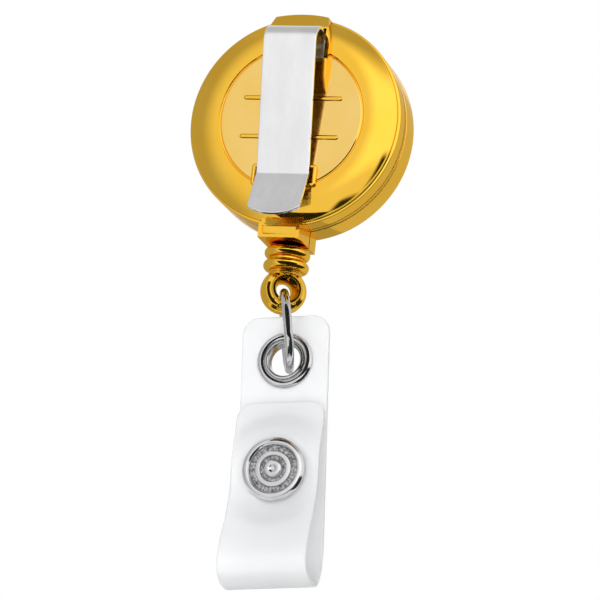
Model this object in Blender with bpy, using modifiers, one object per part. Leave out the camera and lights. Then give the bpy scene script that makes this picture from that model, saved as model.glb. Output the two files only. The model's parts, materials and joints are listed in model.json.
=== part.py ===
"""Retractable badge reel: a gold reel housing with a belt clip on its back, and a vinyl badge strap.

Metres, +Z up. The reel hangs by its clip. The origin is the centre of the rear cover's flat disc,
-Y points away from the cover towards the clip, and the cord leaves the housing downwards.
"""
import math

import bmesh
import bpy
from mathutils import Matrix, Vector

MM = 0.001

# Driving dimensions
BODY_R = 15.9 * MM            # housing side wall
RIM_R = 15.5 * MM             # outer edge of the rear cover's dome
DISC_R = 10.75 * MM           # flat disc in the middle of the rear cover
DOME_RISE = 1.6 * MM          # the disc stands this far proud of the dome's edge
PARTING_Y = 5.6 * MM          # seam between the two covers, and the plane of the cord
SEAM = 0.3 * MM               # gap between pieces that touch
SMALL_GAP = 0.2 * MM          # gap between the small pressed pieces
FRONT_Y = 10.7 * MM           # front face of the housing
SHELL = 1.3 * MM              # cover thickness
WALL_R = 14.7 * MM            # inside of the rear cover's side wall
ARBOR_R = 2.0 * MM            # fixed post that the mainspring pulls on

NOZZLE_HALF = 3.1 * MM        # half width of the block where the cord leaves
NOZZLE_NEAR = 0.1 * MM
NOZZLE_BACK = 8.8 * MM
NOZZLE_BOTTOM = -18.1 * MM
CORD_R = 0.3 * MM
CORD_HOLE_R = 0.6 * MM

CLIP_HALF = 3.95 * MM         # half width of the clip's steel strip
CLIP_T = 0.5 * MM
CLIP_LEG_Y = 0.7 * MM
CLIP_ARM_Y = -4.55 * MM
CLIP_FOLD_Z = 10.35 * MM      # centre of the fold
CLIP_BEND_Y = -0.85 * MM
CLIP_BEND_Z = -8.75 * MM      # lower bend, where the arm presses on the belt
CLIP_TIP_Y = -4.1 * MM
CLIP_TIP_Z = -15.85 * MM
CLIP_SPLIT = 0.5 * MM         # gap in the fold between the fixed half and the arm

POCKET_HALF = 4.85 * MM       # half width of the raised pocket that holds the clip
POCKET_Y = -0.95 * MM
CROWN_HALF = 4.0 * MM         # the pocket's upper end, which reaches the side wall
CROWN_Y = 0.5 * MM
CHANNEL_HALF = 4.2 * MM
CHANNEL_FLOOR = 1.1 * MM

SPOOL_R = 13.6 * MM
SPOOL_Y0, SPOOL_Y1 = 3.3 * MM, 7.9 * MM
GROOVE_R = 10.6 * MM
GROOVE_Y0, GROOVE_Y1 = 4.0 * MM, 7.2 * MM
BARREL_R = 9.7 * MM
WINDING_R = 12.75 * MM
ANCHOR_R = 11.5 * MM          # where the cord's end passes through the rear flange

FITTING_TOP = -18.3 * MM
RIB_R, RIB_TUBE = 2.55 * MM, 0.8 * MM
RIB_PITCH = 1.9 * MM
EYELET_Z = -24.7 * MM
EYELET_R, EYELET_HOLE_R, EYELET_HALF_T = 3.35 * MM, 1.75 * MM, 1.85 * MM
EYELET_TURN = math.radians(32)

RING_R, RING_WIRE_R = 5.55 * MM, 0.66 * MM
RING_DROP = 5.9 * MM          # ring's centre below the eyelet's
RING_TURN = math.radians(17.6)
RING_LEAN = math.radians(10.6)

STRAP_HALF = 6.5 * MM
STRAP_T = 0.7 * MM
STRAP_CORNER = 2.2 * MM
STRAP_TOP = -28.5 * MM
STRAP_Y = PARTING_Y
FLAP_TOP = -41.6 * MM
FLAP_TOP_Y = 4.7 * MM         # the flap's end rests on the back leaf
FLAP_Y = 2.1 * MM
FLAP_LEAN = 0.25              # the flap comes forward by this much for each unit down
FOLD_Y, FOLD_Z = 1.0 * MM, -69.25 * MM
STRAP_LEAN = math.radians(4.5)
STRAP_SHIFT = 0.67 * MM       # the strap hangs a little to one side, as the ring leans
GROMMET_Z = -35.1 * MM
GROMMET_R, GROMMET_HOLE_R = 4.15 * MM, 2.35 * MM
SNAP_Z = -52.2 * MM
SNAP_R = 4.65 * MM
PRESSED_RUN = 2.5 * MM        # the strap lies flat under the snap and bends away over this distance

TURN_STEPS = 48
SMALL_STEPS = 32

GOLD = (0.83, 0.55, 0.12)
NICKEL = (0.72, 0.72, 0.74)
VINYL = (0.90, 0.91, 0.92)
NYLON = (0.06, 0.06, 0.06)


def clear_scene():
    for obj in list(bpy.data.objects):
        bpy.data.objects.remove(obj)
    for name in ("badge_reel", "cutters"):
        bpy.context.scene.collection.children.link(bpy.data.collections.new(name))


def material(name, colour, metallic, roughness):
    mat = bpy.data.materials.new(name)
    mat.use_nodes = True
    shader = mat.node_tree.nodes["Principled BSDF"]
    shader.inputs["Base Color"].default_value = (*colour, 1)
    shader.inputs["Metallic"].default_value = metallic
    shader.inputs["Roughness"].default_value = roughness
    return mat


def add(name, mesh, collection="badge_reel", look=None):
    obj = bpy.data.objects.new(name, mesh)
    bpy.data.collections[collection].objects.link(obj)
    if look:
        mesh.materials.append(material(name, *look))
    if collection == "cutters":
        obj.hide_render = True
        obj.display_type = "WIRE"
    return obj


def gold_plastic():
    return GOLD, 1.0, 0.12


def plated_steel():
    return NICKEL, 1.0, 0.2


def clear_vinyl():
    return VINYL, 0.0, 0.35


def moulded_plastic():
    return (0.85, 0.85, 0.83), 0.0, 0.5


def nylon_cord():
    return NYLON, 0.0, 0.8


def turned(name, profile, centre=(0, 0, 0), turn=None, closed=False, steps=TURN_STEPS, **place):
    """Turn a profile of (radius, height) points about local Z; the default turn lays Z along +Y."""
    mesh = bpy.data.meshes.new(name)
    edges = [(i, i + 1) for i in range(len(profile) - 1)]
    if closed:
        edges.append((len(profile) - 1, 0))
    mesh.from_pydata([(r, 0, h) for r, h in profile], edges, [])
    obj = add(name, mesh, **place)
    obj.location = centre
    obj.rotation_euler = (-math.pi / 2, 0, 0) if turn is None else turn
    screw = obj.modifiers.new("turn", "SCREW")
    screw.steps = screw.render_steps = steps
    screw.use_merge_vertices = True
    screw.merge_threshold = 0.00001
    screw.use_smooth_shade = True
    return obj


def arc(centre_r, centre_h, radius, start, end, count):
    """Points of a circular arc in a profile, angles in degrees from the outward direction."""
    points = []
    for i in range(count + 1):
        angle = math.radians(start + (end - start) * i / count)
        points.append((centre_r + radius * math.cos(angle), centre_h + radius * math.sin(angle)))
    return points


def block(name, low, high, collection="cutters", look=None, round_edges=0.0):
    """A box between two corners; round_edges rounds the edges that run along Y."""
    bm = bmesh.new()
    bmesh.ops.create_cube(bm, size=1)
    size = [b - a for a, b in zip(low, high)]
    middle = [(a + b) / 2 for a, b in zip(low, high)]
    bmesh.ops.scale(bm, vec=size, verts=bm.verts)
    bmesh.ops.translate(bm, vec=middle, verts=bm.verts)
    if round_edges:
        upright = [e for e in bm.edges if abs(e.verts[0].co.y - e.verts[1].co.y) > size[1] / 2]
        bmesh.ops.bevel(bm, geom=upright, offset=round_edges, segments=4, profile=0.5,
                        affect="EDGES", clamp_overlap=True)
    mesh = bpy.data.meshes.new(name)
    bm.to_mesh(mesh)
    bm.free()
    return add(name, mesh, collection, look)


def prism(name, outline, axis, start, end):
    """Extrude an outline along X (points are y, z) or along Y (points are x, z)."""
    bm = bmesh.new()
    if axis == "X":
        verts = [bm.verts.new((start, a, b)) for a, b in outline]
        shift = (end - start, 0, 0)
    else:
        verts = [bm.verts.new((a, start, b)) for a, b in outline]
        shift = (0, end - start, 0)
    face = bm.faces.new(verts)
    grown = bmesh.ops.extrude_face_region(bm, geom=[face])
    moved = [g for g in grown["geom"] if isinstance(g, bmesh.types.BMVert)]
    bmesh.ops.translate(bm, vec=shift, verts=moved)
    bmesh.ops.recalc_face_normals(bm, faces=bm.faces)
    mesh = bpy.data.meshes.new(name)
    bm.to_mesh(mesh)
    bm.free()
    return add(name, mesh, "cutters")


def rod(name, radius, start, end, steps=24):
    """A cylinder cutter from one point to another."""
    start, end = Vector(start), Vector(end)
    bm = bmesh.new()
    bmesh.ops.create_cone(bm, cap_ends=True, segments=steps, radius1=radius, radius2=radius,
                          depth=(end - start).length)
    aim = (end - start).to_track_quat("Z", "Y").to_matrix().to_4x4()
    bmesh.ops.transform(bm, matrix=Matrix.Translation((start + end) / 2) @ aim, verts=bm.verts)
    mesh = bpy.data.meshes.new(name)
    bm.to_mesh(mesh)
    bm.free()
    return add(name, mesh, "cutters")


def combine(target, tools, operation="DIFFERENCE"):
    for tool in tools:
        boolean = target.modifiers.new(tool.name, "BOOLEAN")
        boolean.operation = operation
        boolean.solver = "EXACT"
        boolean.object = tool


def sheet(name, path, half_width, thickness, look, corner=0.0, end_bulge=0.0, columns=6, flat=None):
    """A bent strip: path is its centre line in (y, z). Its first end can have round corners, and
    its last end can bulge out as an arc. It is pressed flat round a (y, z) point if flat gives one."""
    rows = []
    travelled = 0.0
    for i, (y, z) in enumerate(path):
        if i:
            travelled += math.dist(path[i - 1], path[i])
        half = half_width
        if travelled < corner:
            half += math.sqrt(corner ** 2 - (corner - travelled) ** 2) - corner
        rows.append([(half * (2 * c / columns - 1), y, z) for c in range(columns + 1)])
    if flat:
        rows = [[(x, pressed(x, y, z, flat), z) for x, y, z in row] for row in rows]
    if end_bulge:
        along = Vector((0, *path[-1])) - Vector((0, *path[-2]))
        along.normalize()
        sweep = (half_width ** 2 + end_bulge ** 2) / (2 * end_bulge)
        rows[-1] = [tuple(Vector(p) - along * (sweep - math.sqrt(sweep ** 2 - p[0] ** 2)))
                    for p in rows[-1]]
    mesh = bpy.data.meshes.new(name)
    wide = columns + 1
    faces = [(r * wide + c, r * wide + c + 1, (r + 1) * wide + c + 1, (r + 1) * wide + c)
             for r in range(len(rows) - 1) for c in range(columns)]
    mesh.from_pydata([p for row in rows for p in row], [], faces)
    mesh.shade_smooth()
    obj = add(name, mesh, look=look)
    solid = obj.modifiers.new("thickness", "SOLIDIFY")
    solid.thickness = thickness
    solid.offset = 0
    return obj


def pressed(x, y, z, flat):
    """The y of a strip's point once the snap at flat has pressed the strip round it flat."""
    far = min(max((math.hypot(x, z - flat[1]) - SNAP_R) / PRESSED_RUN, 0), 1)
    return flat[0] + (y - flat[0]) * far * far * (3 - 2 * far)


def bezier(points, count):
    """Points of a cubic curve in the YZ plane, without its first point."""
    p0, p1, p2, p3 = (Vector(p) for p in points)
    route = []
    for i in range(1, count + 1):
        t = i / count
        route.append(tuple((1 - t) ** 3 * p0 + 3 * t * (1 - t) ** 2 * p1
                           + 3 * t ** 2 * (1 - t) * p2 + t ** 3 * p3))
    return route


def cord_tube(name, points):
    curve = bpy.data.curves.new(name, "CURVE")
    curve.dimensions = "3D"
    curve.bevel_depth = CORD_R
    curve.bevel_resolution = 2
    curve.use_fill_caps = True
    spline = curve.splines.new("POLY")
    spline.points.add(len(points) - 1)
    for point, place in zip(spline.points, points):
        point.co = (*place, 1)
    curve.materials.append(material(name, *nylon_cord()))
    obj = bpy.data.objects.new(name, curve)
    bpy.data.collections["badge_reel"].objects.link(obj)
    return obj


def cord_passage():
    """Cutters shared by both covers: the cord's hole with a flared entry."""
    hole = rod("cord_hole", CORD_HOLE_R, (0, PARTING_Y, NOZZLE_BOTTOM - MM), (0, PARTING_Y, -15 * MM))
    flare = turned("cord_flare", [(0, -14.0 * MM), (2.4 * MM, -14.0 * MM), (0.55 * MM, -15.85 * MM),
                                  (0, -15.85 * MM)],
                   centre=(0, PARTING_Y, 0), turn=(0, 0, 0), steps=24, collection="cutters")
    return [hole, flare]


def dome_profile():
    """Rear cover's outer side from the rim step down to the axis, as (radius, y)."""
    run = RIM_R - (DISC_R + SMALL_GAP)
    bulge = (run ** 2 + DOME_RISE ** 2) / (2 * DOME_RISE)
    points = [(BODY_R, DOME_RISE + 0.55 * MM), (BODY_R - 0.1 * MM, DOME_RISE + 0.4 * MM),
              (RIM_R, DOME_RISE + 0.4 * MM)]
    for i in range(7):
        out = run * (1 - i / 6)
        points.append((DISC_R + SMALL_GAP + out, bulge - math.sqrt(bulge ** 2 - out ** 2)))
    points += [(DISC_R, 0.2 * MM), (DISC_R - 0.2 * MM, 0), (0, 0)]
    return points


def rear_cover(passage):
    bush_r, bush_out, bush_y = ARBOR_R + 0.35 * MM, 3.1 * MM, 2.6 * MM
    inside = [(0, SHELL), (bush_r, SHELL), (bush_r, bush_y), (bush_out, bush_y), (bush_out, SHELL),
              (9.8 * MM, SHELL), (13.9 * MM, 2.75 * MM), (WALL_R, 3.4 * MM)]
    rim_y = PARTING_Y - SEAM / 2
    profile = inside + [(WALL_R, rim_y), (BODY_R, rim_y)] + dome_profile()
    cover = turned("rear_cover", profile, look=gold_plastic())
    nozzle = block("nozzle_rear", (-NOZZLE_HALF, DOME_RISE - 0.3 * MM, NOZZLE_BOTTOM),
                   (NOZZLE_HALF, rim_y, -15.0 * MM))
    face = block("nozzle_face", (-NOZZLE_HALF, NOZZLE_NEAR, NOZZLE_BOTTOM),
                 (NOZZLE_HALF, DOME_RISE + 0.3 * MM, -16.0 * MM))
    ramp = prism("pocket_ramp", [(0.8 * MM, 3.7 * MM), (0, 3.7 * MM), (-0.55 * MM, 4.5 * MM),
                                 (-1.05 * MM, 6.0 * MM), (-1.6 * MM, 8.6 * MM), (0.8 * MM, 8.6 * MM)],
                 "X", -POCKET_HALF, POCKET_HALF)
    boss = prism("pocket_boss", [(1.1 * MM, 8.3 * MM), (POCKET_Y, 8.3 * MM), (POCKET_Y, 13.6 * MM),
                                 (CROWN_Y, 16 * MM), (2.2 * MM, 16 * MM), (2.2 * MM, 15 * MM),
                                 (1.1 * MM, 15 * MM)], "X", -POCKET_HALF, POCKET_HALF)
    spread = math.asin(CROWN_HALF / BODY_R)
    crown = [(BODY_R * math.sin(a), BODY_R * math.cos(a)) for a in (spread * (1 - i / 3) for i in range(7))]
    outline = prism("pocket_outline", [(POCKET_HALF, 8 * MM), (POCKET_HALF, 13.2 * MM)] + crown
                    + [(-POCKET_HALF, 13.2 * MM), (-POCKET_HALF, 8 * MM)], "Y", -2 * MM, 3 * MM)
    combine(boss, [outline], "INTERSECT")
    cheeks = [block(f"grip_cheek_{i}", (x - 0.32 * MM, -0.6 * MM, -10.3 * MM),
                    (x + 0.32 * MM, 0.3 * MM, -7.4 * MM)) for i, x in enumerate((-4.55 * MM, 4.55 * MM))]
    bars = [block(f"disc_line_{i}", (-7.5 * MM, -0.15 * MM, z - 0.35 * MM),
                  (7.5 * MM, 0.3 * MM, z + 0.35 * MM)) for i, z in enumerate((3.0 * MM, -2.95 * MM))]
    seat = block("clip_seat", (-5 * MM, 1.2 * MM, 5.4 * MM), (5 * MM, 1.95 * MM, 13.8 * MM))
    combine(cover, [nozzle, face, ramp, boss, seat] + cheeks + bars, "UNION")
    channel = block("clip_channel", (-CHANNEL_HALF, -2 * MM, 8.6 * MM),
                    (CHANNEL_HALF, CHANNEL_FLOOR, 13.35 * MM))
    slot = block("clip_slot", (-CHANNEL_HALF, CLIP_LEG_Y - 0.45 * MM, 6.0 * MM),
                 (CHANNEL_HALF, CHANNEL_FLOOR, 8.8 * MM))
    window = block("grip_recess", (-4.25 * MM, -0.5 * MM, -10.1 * MM), (4.25 * MM, 0.6 * MM, -7.6 * MM),
                   round_edges=0.5 * MM)
    panel = block("nozzle_panel", (-2.55 * MM, -MM, -17.65 * MM),
                  (2.55 * MM, NOZZLE_NEAR + 0.3 * MM, -16.4 * MM))
    combine(cover, [channel, slot, window, panel] + passage)
    return cover


def front_cover(passage):
    rim_y = PARTING_Y + SEAM / 2
    lip_r, lip_in, lip_y = 14.4 * MM, 13.95 * MM, 4.2 * MM
    inner_r, floor_y = 14.6 * MM, FRONT_Y - 1.2 * MM
    outside = [(0, FRONT_Y - 0.3 * MM), (12.7 * MM, FRONT_Y - 0.3 * MM), (12.9 * MM, FRONT_Y)]
    outside += arc(BODY_R - MM, FRONT_Y - MM, MM, 90, 0, 4)
    inside = [(BODY_R, rim_y), (lip_r, rim_y), (lip_r, lip_y), (lip_in, lip_y), (lip_in, 6.6 * MM),
              (inner_r, 7.2 * MM), (inner_r, floor_y), (ARBOR_R + 0.8 * MM, floor_y),
              (ARBOR_R, floor_y - 0.6 * MM), (ARBOR_R, 1.9 * MM), (ARBOR_R - 0.3 * MM, 1.6 * MM),
              (0, 1.6 * MM)]
    cover = turned("front_cover", outside + inside, look=gold_plastic())
    nozzle = block("nozzle_front", (-NOZZLE_HALF, rim_y, NOZZLE_BOTTOM),
                   (NOZZLE_HALF, NOZZLE_BACK, -15.0 * MM))
    combine(cover, [nozzle], "UNION")
    notch = block("lip_notch", (-5.6 * MM, lip_y - MM, -15.5 * MM), (1.4 * MM, 6.5 * MM, -10.5 * MM))
    keep = rod("notch_limit", 14.55 * MM, (0, 0, 0), (0, 9 * MM, 0), steps=TURN_STEPS)
    combine(notch, [keep], "INTERSECT")
    spring_slot = block("arbor_slot", (-0.3 * MM, 4.2 * MM, -3 * MM), (0.3 * MM, 8.0 * MM, 3 * MM))
    combine(cover, [notch, spring_slot] + passage)
    return cover


def clip_fold(start, end, count=10):
    """Centre line of the fold between two angles; 0 is the leg's side and 180 the arm's."""
    middle, radius = (CLIP_LEG_Y + CLIP_ARM_Y) / 2, (CLIP_LEG_Y - CLIP_ARM_Y) / 2
    return [(y, z) for y, z in arc(middle, CLIP_FOLD_Z, radius, start, end, count)]


def belt_clip():
    fold_r = (CLIP_LEG_Y - CLIP_ARM_Y) / 2
    half_split = math.degrees(CLIP_SPLIT / fold_r) / 2
    leg = [(CLIP_LEG_Y, 6.3 * MM)] + clip_fold(0, 90 - half_split, 6)
    sheet("clip_base", leg, CLIP_HALF, CLIP_T, plated_steel(), columns=2)
    bend_run = 0.6 * MM
    lean_in = Vector((CLIP_BEND_Y - CLIP_ARM_Y, CLIP_BEND_Z - CLIP_FOLD_Z)).normalized()
    flare = Vector((CLIP_TIP_Y - CLIP_BEND_Y, CLIP_TIP_Z - CLIP_BEND_Z)).normalized()
    bend = Vector((CLIP_BEND_Y, CLIP_BEND_Z))
    arm = clip_fold(90 + half_split, 180, 6)
    arm += [tuple(bend - bend_run * lean_in), tuple(bend), tuple(bend + bend_run * flare),
            (CLIP_TIP_Y, CLIP_TIP_Z)]
    sheet("clip_arm", arm, CLIP_HALF, CLIP_T, plated_steel(), end_bulge=1.3 * MM, columns=8)


def spool():
    web_y = GROOVE_Y0 + 0.1 * MM
    profile = [(SPOOL_R, SPOOL_Y1), (SPOOL_R, GROOVE_Y1), (GROOVE_R, GROOVE_Y1), (GROOVE_R, GROOVE_Y0),
               (SPOOL_R, GROOVE_Y0), (SPOOL_R, SPOOL_Y0), (ARBOR_R + SEAM, SPOOL_Y0),
               (ARBOR_R + SEAM, web_y), (BARREL_R, web_y), (BARREL_R, SPOOL_Y1)]
    drum = turned("spool", profile, closed=True, look=moulded_plastic())
    hole = rod("anchor_hole", CORD_R + SMALL_GAP, (ANCHOR_R, SPOOL_Y0 - MM, 0),
               (ANCHOR_R, GROOVE_Y0 + 0.5 * MM, 0), steps=12)
    combine(drum, [hole])
    turned("spring_retainer", [(10.4 * MM, 8.55 * MM), (10.4 * MM, 8.15 * MM), (2.6 * MM, 8.15 * MM),
                               (2.6 * MM, 8.55 * MM)], closed=True, look=moulded_plastic())
    turned("cord_winding", [(WINDING_R, GROOVE_Y1 - SEAM), (WINDING_R, GROOVE_Y0 + SEAM),
                            (GROOVE_R + SEAM, GROOVE_Y0 + SEAM), (GROOVE_R + SEAM, GROOVE_Y1 - SEAM)],
           closed=True, look=nylon_cord())
    knot("anchor_knot", 0.42 * MM, (ANCHOR_R, 2.6 * MM, 0))


def knot(name, radius, centre):
    bm = bmesh.new()
    bmesh.ops.create_uvsphere(bm, u_segments=12, v_segments=8, radius=radius)
    mesh = bpy.data.meshes.new(name)
    bm.to_mesh(mesh)
    bm.free()
    mesh.shade_smooth()
    obj = add(name, mesh, look=nylon_cord())
    obj.location = centre


def mainspring():
    """Flat spiral strip; its inner end sits in the arbor's slot."""
    inner_r, outer_r, turns, per_turn = 2.75 * MM, 9.2 * MM, 8, 20
    path = [(0, 0.6 * MM), (0, 1.5 * MM), (0.05 * MM, 2.25 * MM), (0.4 * MM, 2.65 * MM)]
    for i in range(1, turns * per_turn + 1):
        radius = inner_r + (outer_r - inner_r) * i / (turns * per_turn)
        angle = math.tau * i / per_turn
        path.append((radius * math.sin(angle), radius * math.cos(angle)))
    low_y, high_y = GROOVE_Y0 + 0.4 * MM, SPOOL_Y1 - 0.2 * MM
    mesh = bpy.data.meshes.new("mainspring")
    faces = [(2 * i, 2 * i + 1, 2 * i + 3, 2 * i + 2) for i in range(len(path) - 1)]
    mesh.from_pydata([(x, y, z) for x, z in path for y in (low_y, high_y)], [], faces)
    obj = add("mainspring", mesh, look=plated_steel())
    solid = obj.modifiers.new("thickness", "SOLIDIFY")
    solid.thickness = 0.18 * MM
    solid.offset = 0


def cord_runs():
    """The cord leaves the winding on a tangent and turns down through the nozzle."""
    run_r = WINDING_R + SEAM + CORD_R
    mouth = Vector((0, -15.0 * MM))
    off = math.acos(run_r / mouth.length)
    leave = Vector((-run_r * math.sin(off), -run_r * math.cos(off)))
    straight = [leave.lerp(mouth, t) for t in (0, 0.3, 0.6, 0.84)]
    turn = [(-0.45 * MM, -14.9 * MM), (-0.12 * MM, -15.35 * MM), (0, -16.0 * MM), (0, -17.2 * MM)]
    cord_tube("cord_inner_run", [(x, PARTING_Y, z) for x, z in [tuple(p) for p in straight] + turn])
    cord_tube("cord_outer_run", [(0, PARTING_Y, -17.5 * MM), (0, PARTING_Y, -19.4 * MM)])


def end_fitting():
    bore_r, chamber_r, chamber_top, chamber_low = 0.6 * MM, 1.4 * MM, -19.4 * MM, -21.3 * MM
    profile = [(0, chamber_low), (chamber_r, chamber_low), (chamber_r, chamber_top),
               (bore_r, chamber_top), (bore_r, FITTING_TOP)]
    for rib in range(2):
        middle = FITTING_TOP - RIB_TUBE - rib * RIB_PITCH
        profile += arc(RIB_R, middle, RIB_TUBE, 90, -90, 8)
    profile += [(2.1 * MM, -22.0 * MM), (1.9 * MM, -22.9 * MM), (0, -22.9 * MM)]
    body = turned("end_fitting", profile, centre=(0, PARTING_Y, 0), turn=(0, 0, 0), steps=SMALL_STEPS,
                  look=gold_plastic())
    ring = [(2.15 * MM, EYELET_HALF_T), (2.3 * MM, 1.5 * MM), (2.8 * MM, 1.35 * MM),
            (3.15 * MM, 0.9 * MM), (EYELET_R, 0.3 * MM)]
    ring += [(r, -h) for r, h in reversed(ring)]
    ring += [(EYELET_HOLE_R + 0.15 * MM, -EYELET_HALF_T), (EYELET_HOLE_R, -1.5 * MM),
             (EYELET_HOLE_R, 1.5 * MM), (EYELET_HOLE_R + 0.15 * MM, EYELET_HALF_T)]
    eye = turned("eyelet_ring", ring, centre=(0, PARTING_Y, EYELET_Z), closed=True, steps=SMALL_STEPS,
                 turn=(-math.pi / 2, 0, EYELET_TURN), collection="cutters")
    hole = turned("eyelet_hole", [(0, 2.5 * MM), (EYELET_HOLE_R, 2.5 * MM), (EYELET_HOLE_R, -2.5 * MM),
                                  (0, -2.5 * MM)], centre=(0, PARTING_Y, EYELET_Z), steps=SMALL_STEPS,
                  turn=(-math.pi / 2, 0, EYELET_TURN), collection="cutters")
    combine(body, [eye], "UNION")
    combine(body, [hole])
    knot("stop_knot", 0.85 * MM, (0, PARTING_Y, -20.4 * MM))


def jump_ring():
    """The ring's plane is turned about Z, and it leans to one side about the eyelet's centre."""
    bpy.ops.mesh.primitive_torus_add(major_radius=RING_R, minor_radius=RING_WIRE_R, major_segments=40,
                                     minor_segments=10)
    ring = bpy.context.object
    ring.name = ring.data.name = "jump_ring"
    for collection in list(ring.users_collection):
        collection.objects.unlink(ring)
    bpy.data.collections["badge_reel"].objects.link(ring)
    ring.data.materials.append(material("jump_ring", *plated_steel()))
    ring.data.shade_smooth()
    upright = Matrix.Rotation(math.pi / 2, 4, "Y")
    lower = Matrix.Translation((0, 0, -RING_DROP))
    lean = Matrix.Rotation(-RING_LEAN, 4, "Y")
    turn = Matrix.Rotation(RING_TURN, 4, "Z")
    ring.matrix_world = Matrix.Translation((0, PARTING_Y, EYELET_Z)) @ turn @ lean @ lower @ upright


def corner_steps(length, count=5):
    """Distances from a strip's end, close together where its corner is round."""
    return [length * (1 - math.cos(math.pi / 2 * i / count)) for i in range(count + 1)]


def strap_leaf(name, path, holes, **shape):
    """One leaf of the strap along its centre line, with a round hole at each (radius, y, z)."""
    leaf = sheet(name, path, STRAP_HALF, STRAP_T, clear_vinyl(), corner=STRAP_CORNER, **shape)
    cutters = [rod(f"{name}_hole_{i}", r, (0, y - 2 * MM, z), (0, y + 2 * MM, z))
               for i, (r, y, z) in enumerate(holes)]
    combine(leaf, cutters)
    hang([leaf] + cutters)


def hang(pieces):
    """Lean the strap's pieces about the eyelet and shift them aside."""
    pivot = Matrix.Translation((0, PARTING_Y, EYELET_Z))
    lean = pivot @ Matrix.Rotation(-STRAP_LEAN, 4, "Y") @ pivot.inverted()
    for piece in pieces:
        piece.matrix_world = Matrix.Translation((STRAP_SHIFT, 0, 0)) @ lean @ piece.matrix_basis


def strap():
    back = [(STRAP_Y, STRAP_TOP - d) for d in corner_steps(STRAP_CORNER)] + [(STRAP_Y, -61.5 * MM)]
    back += bezier([back[-1], (STRAP_Y, -65.5 * MM), (4.4 * MM, FOLD_Z), (FOLD_Y + SEAM / 2, FOLD_Z)], 12)
    strap_leaf("strap_back_leaf", back, [(GROMMET_HOLE_R + 0.25 * MM + SMALL_GAP, STRAP_Y, GROMMET_Z),
                                         (1.5 * MM, STRAP_Y, SNAP_Z)], columns=2)
    bow = -58.2 * MM
    steps = corner_steps(STRAP_CORNER) + [STRAP_CORNER + (FLAP_TOP - STRAP_CORNER - bow) * i / 16
                                          for i in range(1, 17)]
    front = [(FLAP_TOP_Y - FLAP_LEAN * d, FLAP_TOP - d) for d in steps]
    handle = 3 * MM
    front += bezier([front[-1], (front[-1][0] - FLAP_LEAN * handle, bow - handle), (-7.9 * MM, FOLD_Z),
                     (FOLD_Y - SEAM / 2, FOLD_Z)], 14)
    strap_leaf("strap_front_leaf", front, [(1.5 * MM, FLAP_Y, SNAP_Z)], columns=8,
               flat=(FLAP_Y, SNAP_Z))


def grommet():
    face = STRAP_Y - STRAP_T / 2 - SMALL_GAP
    back = STRAP_Y + STRAP_T / 2 + SMALL_GAP
    barrel_r = GROMMET_HOLE_R + 0.25 * MM
    washer_t = 0.35 * MM
    roll_y = back + washer_t + SMALL_GAP
    profile = [(3.3 * MM, roll_y + 0.35 * MM), (3.3 * MM, roll_y), (barrel_r, roll_y), (barrel_r, face),
               (GROMMET_R, face), (GROMMET_R, face - 0.3 * MM), (3.7 * MM, face - 0.6 * MM),
               (2.7 * MM, face - 0.6 * MM), (GROMMET_HOLE_R, face - 0.3 * MM),
               (GROMMET_HOLE_R, roll_y + 0.1 * MM), (GROMMET_HOLE_R + 0.2 * MM, roll_y + 0.35 * MM)]
    eyelet = turned("grommet", profile, centre=(0, 0, GROMMET_Z), closed=True, steps=SMALL_STEPS,
                    look=plated_steel())
    washer = turned("grommet_washer", [(4.1 * MM, back + washer_t), (4.1 * MM, back),
                                       (barrel_r + SMALL_GAP, back), (barrel_r + SMALL_GAP, back + washer_t)],
                    centre=(0, 0, GROMMET_Z), closed=True, steps=SMALL_STEPS, look=plated_steel())
    hang([eyelet, washer])


def snap():
    """Four pressed pieces: cap and socket on the front leaf, stud and post on the back leaf."""
    centre = (0, 0, SNAP_Z)
    post_r = 1.25 * MM
    flap_face = FLAP_Y - STRAP_T / 2 - SMALL_GAP
    flap_back = FLAP_Y + STRAP_T / 2 + SMALL_GAP
    cap = [(0, flap_back - 0.1 * MM), (post_r, flap_back - 0.1 * MM), (post_r, flap_face),
           (SNAP_R, flap_face), (SNAP_R, flap_face - 0.6 * MM), (4.3 * MM, flap_face - 0.9 * MM),
           (3.8 * MM, flap_face - 0.9 * MM), (3.6 * MM, flap_face - 0.4 * MM),
           (2.3 * MM, flap_face - 0.4 * MM), (1.9 * MM, flap_face - 0.75 * MM),
           (0.5 * MM, flap_face - 0.85 * MM), (0, flap_face - 0.7 * MM)]
    pieces = [turned("snap_cap", cap, centre=centre, steps=SMALL_STEPS, look=plated_steel())]
    socket_end = flap_back + 0.95 * MM
    socket = [(0, flap_back + 0.2 * MM), (1.9 * MM, flap_back + 0.2 * MM), (1.9 * MM, socket_end),
              (3.6 * MM, socket_end), (4.2 * MM, socket_end - 0.4 * MM), (4.2 * MM, flap_back),
              (0, flap_back)]
    pieces.append(turned("snap_socket", socket, centre=centre, steps=SMALL_STEPS, look=plated_steel()))
    stud_low = socket_end + SMALL_GAP
    stud_high = STRAP_Y - STRAP_T / 2 - SMALL_GAP
    stud = [(0, stud_high), (3.6 * MM, stud_high), (3.6 * MM, stud_low), (1.5 * MM, stud_low),
            (1.5 * MM, stud_low - 0.6 * MM), (1.2 * MM, stud_low - 0.8 * MM), (0, stud_low - 0.8 * MM)]
    pieces.append(turned("snap_stud", stud, centre=centre, steps=SMALL_STEPS, look=plated_steel()))
    strap_back = STRAP_Y + STRAP_T / 2 + SMALL_GAP
    post = [(0, strap_back + 0.6 * MM), (4.2 * MM, strap_back + 0.6 * MM),
            (SNAP_R, strap_back + 0.3 * MM), (SNAP_R, strap_back), (post_r, strap_back),
            (post_r, stud_high + 0.1 * MM), (0, stud_high + 0.1 * MM)]
    pieces.append(turned("snap_post", post, centre=centre, steps=SMALL_STEPS, look=plated_steel()))
    hang(pieces)


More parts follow.
